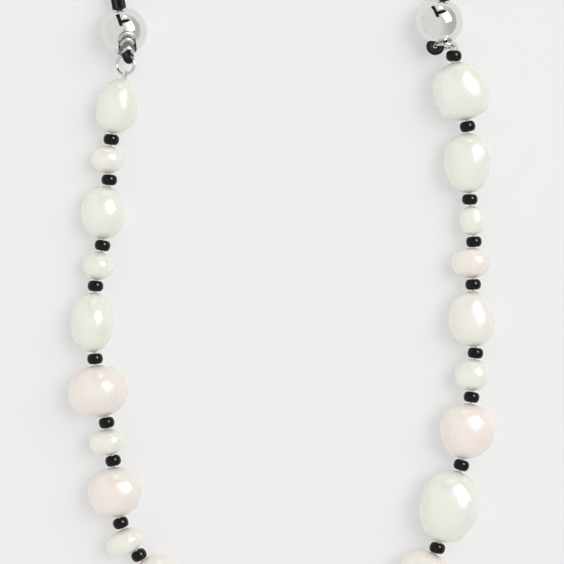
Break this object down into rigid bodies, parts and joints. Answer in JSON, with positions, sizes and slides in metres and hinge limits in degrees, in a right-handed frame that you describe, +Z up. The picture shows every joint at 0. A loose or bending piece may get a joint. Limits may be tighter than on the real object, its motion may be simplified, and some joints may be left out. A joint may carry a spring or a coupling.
{
  "type": "eyeglasses chain strap",
  "caption": "Baroque pearl and black seed bead eyeglasses chain, with a rubber temple loop, chrome slider ball and split ring at each end and its spare strand coiled flat.",
  "frame": {"origin": "middle of the strap's box, on the table that it lies on", "axes": "+X to the right as laid out, +Y along the strands towards the temple loops, +Z up from the table"},
  "size_m": [0.0884, 0.1984, 0.0086],
  "materials": {
    "pearl": "nacre, satin gloss",
    "rose_pearl": "pink nacre, satin gloss",
    "black_glass": "opaque black, gloss",
    "chrome": "polished",
    "rubber": "matt",
    "thread": "plain beading thread"
  },
  "bodies": {
    "stored_strand": {"coiled_strand": "pearl", "left_pearl_10": "rose_pearl", "right_pearl_09": "rose_pearl", "left_thread": "thread", "right_thread": "thread"},
    "left_seed_09": {"left_seed_09": "black_glass"},
    "left_pearl_09": {"left_pearl_09": "pearl"},
    "left_seed_08": {"left_seed_08": "black_glass"},
    "left_pearl_08": {"left_pearl_08": "rose_pearl"},
    "left_seed_07": {"left_seed_07": "black_glass"},
    "left_pearl_07": {"left_pearl_07": "pearl"},
    "left_seed_06": {"left_seed_06": "black_glass"},
    "left_pearl_06": {"left_pearl_06": "rose_pearl"},
    "left_seed_05": {"left_seed_05": "black_glass"},
    "left_pearl_05": {"left_pearl_05": "pearl"},
    "left_seed_04": {"left_seed_04": "black_glass"},
    "left_pearl_04": {"left_pearl_04": "pearl"},
    "left_seed_03": {"left_seed_03": "black_glass"},
    "left_pearl_03": {"left_pearl_03": "pearl"},
    "left_seed_02": {"left_seed_02": "black_glass"},
    "left_pearl_02": {"left_pearl_02": "pearl"},
    "left_seed_01": {"left_seed_01": "black_glass"},
    "left_pearl_01": {"left_pearl_01": "pearl"},
    "left_split_ring": {"left_split_ring": "chrome"},
    "left_temple_loop": {"left_temple_loop": "rubber"},
    "left_slider": {"left_slider_ball": "chrome", "left_slider_sleeve": "chrome"},
    "right_seed_08": {"right_seed_08": "black_glass"},
    "right_pearl_08": {"right_pearl_08": "pearl"},
    "right_seed_07": {"right_seed_07": "black_glass"},
    "right_pearl_07": {"right_pearl_07": "rose_pearl"},
    "right_seed_06": {"right_seed_06": "black_glass"},
    "right_pearl_06": {"right_pearl_06": "pearl"},
    "right_seed_05": {"right_seed_05": "black_glass"},
    "right_pearl_05": {"right_pearl_05": "pearl"},
    "right_seed_04": {"right_seed_04": "black_glass"},
    "right_pearl_04": {"right_pearl_04": "rose_pearl"},
    "right_seed_03": {"right_seed_03": "black_glass"},
    "right_pearl_03": {"right_pearl_03": "pearl"},
    "right_seed_02": {"right_seed_02": "black_glass"},
    "right_pearl_02": {"right_pearl_02": "pearl"},
    "right_seed_01": {"right_seed_01": "black_glass"},
    "right_pearl_01": {"right_pearl_01": "pearl"},
    "right_end_seed": {"right_end_seed": "black_glass"},
    "right_split_ring": {"right_split_ring": "chrome"},
    "right_temple_loop": {"right_temple_loop": "rubber"},
    "right_slider": {"right_slider_ball": "chrome", "right_slider_sleeve": "chrome"}
  },
  "joints": [
    {"name": "left_slider_slide", "type": "slide", "parent": "left_temple_loop", "child": "left_slider", "axis": [-0.1809, 0.9761, -0.1201], "range_m": [0, 0.008]},
    {"name": "right_slider_slide", "type": "slide", "parent": "right_temple_loop", "child": "right_slider", "axis": [0.1621, 0.9794, -0.1201], "range_m": [0, 0.008]},
    {"name": "left_loop_swing", "type": "hinge", "parent": "left_split_ring", "child": "left_temple_loop", "pos_m": [-0.01139, 0.06851, 0.00405], "axis": [0.8824, -0.2415, 0.4038], "range_deg": [0, 25]},
    {"name": "right_loop_swing", "type": "hinge", "parent": "right_split_ring", "child": "right_temple_loop", "pos_m": [0.03514, 0.06986, 0.00405], "axis": [-0.0011, 0.1219, 0.9925], "range_deg": [-3, 25]},
    {"name": "left_ring_lift", "type": "hinge", "parent": "left_pearl_01", "child": "left_split_ring", "pos_m": [-0.01174, 0.06561, 0.00402], "axis": [1, 0, 0], "range_deg": [0, 40], "deforming": ["left_thread"]},
    {"name": "right_ring_lift", "type": "hinge", "parent": "right_end_seed", "child": "right_split_ring", "pos_m": [0.03809, 0.06988, 0.00405], "axis": [1, 0, 0], "range_deg": [0, 20], "deforming": ["right_thread"]},
    {"name": "right_end_swing", "type": "hinge", "parent": "right_pearl_01", "child": "right_end_seed", "pos_m": [0.03793, 0.06839, 0.00405], "axis": [0, 0, -1], "range_deg": [-12, 8], "deforming": ["right_thread"]},
    {"name": "left_swing_09", "type": "hinge", "parent": "stored_strand", "child": "left_seed_09", "pos_m": [-0.00975, -0.0072, 0.00322], "axis": [0, 0, 1], "range_deg": [-6, 12], "deforming": ["left_thread"]},
    {"name": "left_lift_09", "type": "hinge", "parent": "left_seed_09", "child": "left_pearl_09", "pos_m": [-0.00975, -0.0072, 0.00322], "axis": [0.8746, 0.4848, 0], "range_deg": [0, 12], "deforming": ["left_thread"]},
    {"name": "left_swing_08", "type": "hinge", "parent": "left_pearl_09", "child": "left_seed_08", "pos_m": [-0.01248, -0.00228, 0.00368], "axis": [0, 0, -1], "range_deg": [-12, 12], "deforming": ["left_thread"]},
    {"name": "left_lift_08", "type": "hinge", "parent": "left_seed_08", "child": "left_pearl_08", "pos_m": [-0.01248, -0.00228, 0.00368], "axis": [0.9513, 0.3082, 0], "range_deg": [0, 12], "deforming": ["left_thread"]},
    {"name": "left_swing_07", "type": "hinge", "parent": "left_pearl_08", "child": "left_seed_07", "pos_m": [-0.01362, 0.00716, 0.00368], "axis": [0, 0, 1], "range_deg": [-12, 12], "deforming": ["left_thread"]},
    {"name": "left_lift_07", "type": "hinge", "parent": "left_seed_07", "child": "left_pearl_07", "pos_m": [-0.01362, 0.00716, 0.00368], "axis": [0.9902, 0.14, 0], "range_deg": [0, 12], "deforming": ["left_thread"]},
    {"name": "left_swing_06", "type": "hinge", "parent": "left_pearl_07", "child": "left_seed_06", "pos_m": [-0.01456, 0.01294, 0.00432], "axis": [0, 0, -1], "range_deg": [-12, 12], "deforming": ["left_thread"]},
    {"name": "left_lift_06", "type": "hinge", "parent": "left_seed_06", "child": "left_pearl_06", "pos_m": [-0.01456, 0.01294, 0.00432], "axis": [0.9856, 0.1693, 0], "range_deg": [0, 12], "deforming": ["left_thread"]},
    {"name": "left_swing_05", "type": "hinge", "parent": "left_pearl_06", "child": "left_seed_05", "pos_m": [-0.01631, 0.02259, 0.00432], "axis": [0, 0, 1], "range_deg": [-12, 12], "deforming": ["left_thread"]},
    {"name": "left_lift_05", "type": "hinge", "parent": "left_seed_05", "child": "left_pearl_05", "pos_m": [-0.01631, 0.02259, 0.00432], "axis": [0.9959, 0.0909, 0], "range_deg": [0, 12], "deforming": ["left_thread"]},
    {"name": "left_swing_04", "type": "hinge", "parent": "left_pearl_05", "child": "left_seed_04", "pos_m": [-0.01633, 0.03358, 0.00317], "axis": [0, 0, -1], "range_deg": [-12, 12], "deforming": ["left_thread"]},
    {"name": "left_lift_04", "type": "hinge", "parent": "left_seed_04", "child": "left_pearl_04", "pos_m": [-0.01633, 0.03358, 0.00317], "axis": [0.9965, -0.0837, 0], "range_deg": [0, 12], "deforming": ["left_thread"]},
    {"name": "left_swing_03", "type": "hinge", "parent": "left_pearl_04", "child": "left_seed_03", "pos_m": [-0.01528, 0.03974, 0.00308], "axis": [0, 0, 1], "range_deg": [-12, 12], "deforming": ["left_thread"]},
    {"name": "left_lift_03", "type": "hinge", "parent": "left_seed_03", "child": "left_pearl_03", "pos_m": [-0.01528, 0.03974, 0.00308], "axis": [0.9907, -0.1357, 0], "range_deg": [0, 12], "deforming": ["left_thread"]},
    {"name": "left_swing_02", "type": "hinge", "parent": "left_pearl_03", "child": "left_seed_02", "pos_m": [-0.01425, 0.04968, 0.00308], "axis": [0, 0, -1], "range_deg": [-12, 12], "deforming": ["left_thread"]},
    {"name": "left_lift_02", "type": "hinge", "parent": "left_seed_02", "child": "left_pearl_02", "pos_m": [-0.01425, 0.04968, 0.00308], "axis": [0.9972, -0.075, 0], "range_deg": [0, 12], "deforming": ["left_thread"]},
    {"name": "left_swing_01", "type": "hinge", "parent": "left_pearl_02", "child": "left_seed_01", "pos_m": [-0.01396, 0.05582, 0.00285], "axis": [0, 0, 1], "range_deg": [-12, 12], "deforming": ["left_thread"]},
    {"name": "left_lift_01", "type": "hinge", "parent": "left_seed_01", "child": "left_pearl_01", "pos_m": [-0.01396, 0.05582, 0.00285], "axis": [0.9909, -0.1346, 0], "range_deg": [0, 12], "deforming": ["left_thread"]},
    {"name": "right_swing_08", "type": "hinge", "parent": "stored_strand", "child": "right_seed_08", "pos_m": [0.03545, -0.00604, 0.00396], "axis": [0, 0, -1], "range_deg": [-4, 12], "deforming": ["right_thread"]},
    {"name": "right_lift_08", "type": "hinge", "parent": "right_seed_08", "child": "right_pearl_08", "pos_m": [0.03545, -0.00604, 0.00396], "axis": [0.9603, -0.279, 0], "range_deg": [0, 12], "deforming": ["right_thread"]},
    {"name": "right_swing_07", "type": "hinge", "parent": "right_pearl_08", "child": "right_seed_07", "pos_m": [0.03909, 0.00649, 0.00396], "axis": [0, 0, 1], "range_deg": [-12, 12], "deforming": ["right_thread"]},
    {"name": "right_lift_07", "type": "hinge", "parent": "right_seed_07", "child": "right_pearl_07", "pos_m": [0.03909, 0.00649, 0.00396], "axis": [0.9767, -0.2147, 0], "range_deg": [0, 12], "deforming": ["right_thread"]},
    {"name": "right_swing_06", "type": "hinge", "parent": "right_pearl_07", "child": "right_seed_06", "pos_m": [0.04064, 0.01677, 0.00368], "axis": [0, 0, -1], "range_deg": [-12, 12], "deforming": ["right_thread"]},
    {"name": "right_lift_06", "type": "hinge", "parent": "right_seed_06", "child": "right_pearl_06", "pos_m": [0.04064, 0.01677, 0.00368], "axis": [0.9925, -0.1219, 0], "range_deg": [0, 12], "deforming": ["right_thread"]},
    {"name": "right_swing_05", "type": "hinge", "parent": "right_pearl_06", "child": "right_seed_05", "pos_m": [0.04127, 0.02342, 0.00322], "axis": [0, 0, 1], "range_deg": [-12, 12], "deforming": ["right_thread"]},
    {"name": "right_lift_05", "type": "hinge", "parent": "right_seed_05", "child": "right_pearl_05", "pos_m": [0.04127, 0.02342, 0.00322], "axis": [0.9995, -0.0305, 0], "range_deg": [0, 12], "deforming": ["right_thread"]},
    {"name": "right_swing_04", "type": "hinge", "parent": "right_pearl_05", "child": "right_seed_04", "pos_m": [0.04093, 0.03382, 0.00322], "axis": [0, 0, -1], "range_deg": [-12, 12], "deforming": ["right_thread"]},
    {"name": "right_lift_04", "type": "hinge", "parent": "right_seed_04", "child": "right_pearl_04", "pos_m": [0.04093, 0.03382, 0.00322], "axis": [1, 0.0061, 0], "range_deg": [0, 12], "deforming": ["right_thread"]},
    {"name": "right_swing_03", "type": "hinge", "parent": "right_pearl_04", "child": "right_seed_03", "pos_m": [0.04106, 0.04031, 0.0029], "axis": [0, 0, 1], "range_deg": [-12, 12], "deforming": ["right_thread"]},
    {"name": "right_lift_03", "type": "hinge", "parent": "right_seed_03", "child": "right_pearl_03", "pos_m": [0.04106, 0.04031, 0.0029], "axis": [0.9992, 0.0392, 0], "range_deg": [0, 12], "deforming": ["right_thread"]},
    {"name": "right_swing_02", "type": "hinge", "parent": "right_pearl_03", "child": "right_seed_02", "pos_m": [0.04042, 0.04672, 0.00322], "axis": [0, 0, -1], "range_deg": [-12, 12], "deforming": ["right_thread"]},
    {"name": "right_lift_02", "type": "hinge", "parent": "right_seed_02", "child": "right_pearl_02", "pos_m": [0.04042, 0.04672, 0.00322], "axis": [0.9977, 0.0672, 0], "range_deg": [0, 12], "deforming": ["right_thread"]},
    {"name": "right_swing_01", "type": "hinge", "parent": "right_pearl_02", "child": "right_seed_01", "pos_m": [0.04004, 0.05775, 0.00377], "axis": [0, 0, 1], "range_deg": [-12, 10], "deforming": ["right_thread"]},
    {"name": "right_lift_01", "type": "hinge", "parent": "right_seed_01", "child": "right_pearl_01", "pos_m": [0.04004, 0.05775, 0.00377], "axis": [0.9934, 0.1149, 0], "range_deg": [0, 12], "deforming": ["right_thread"]}
  ]
}
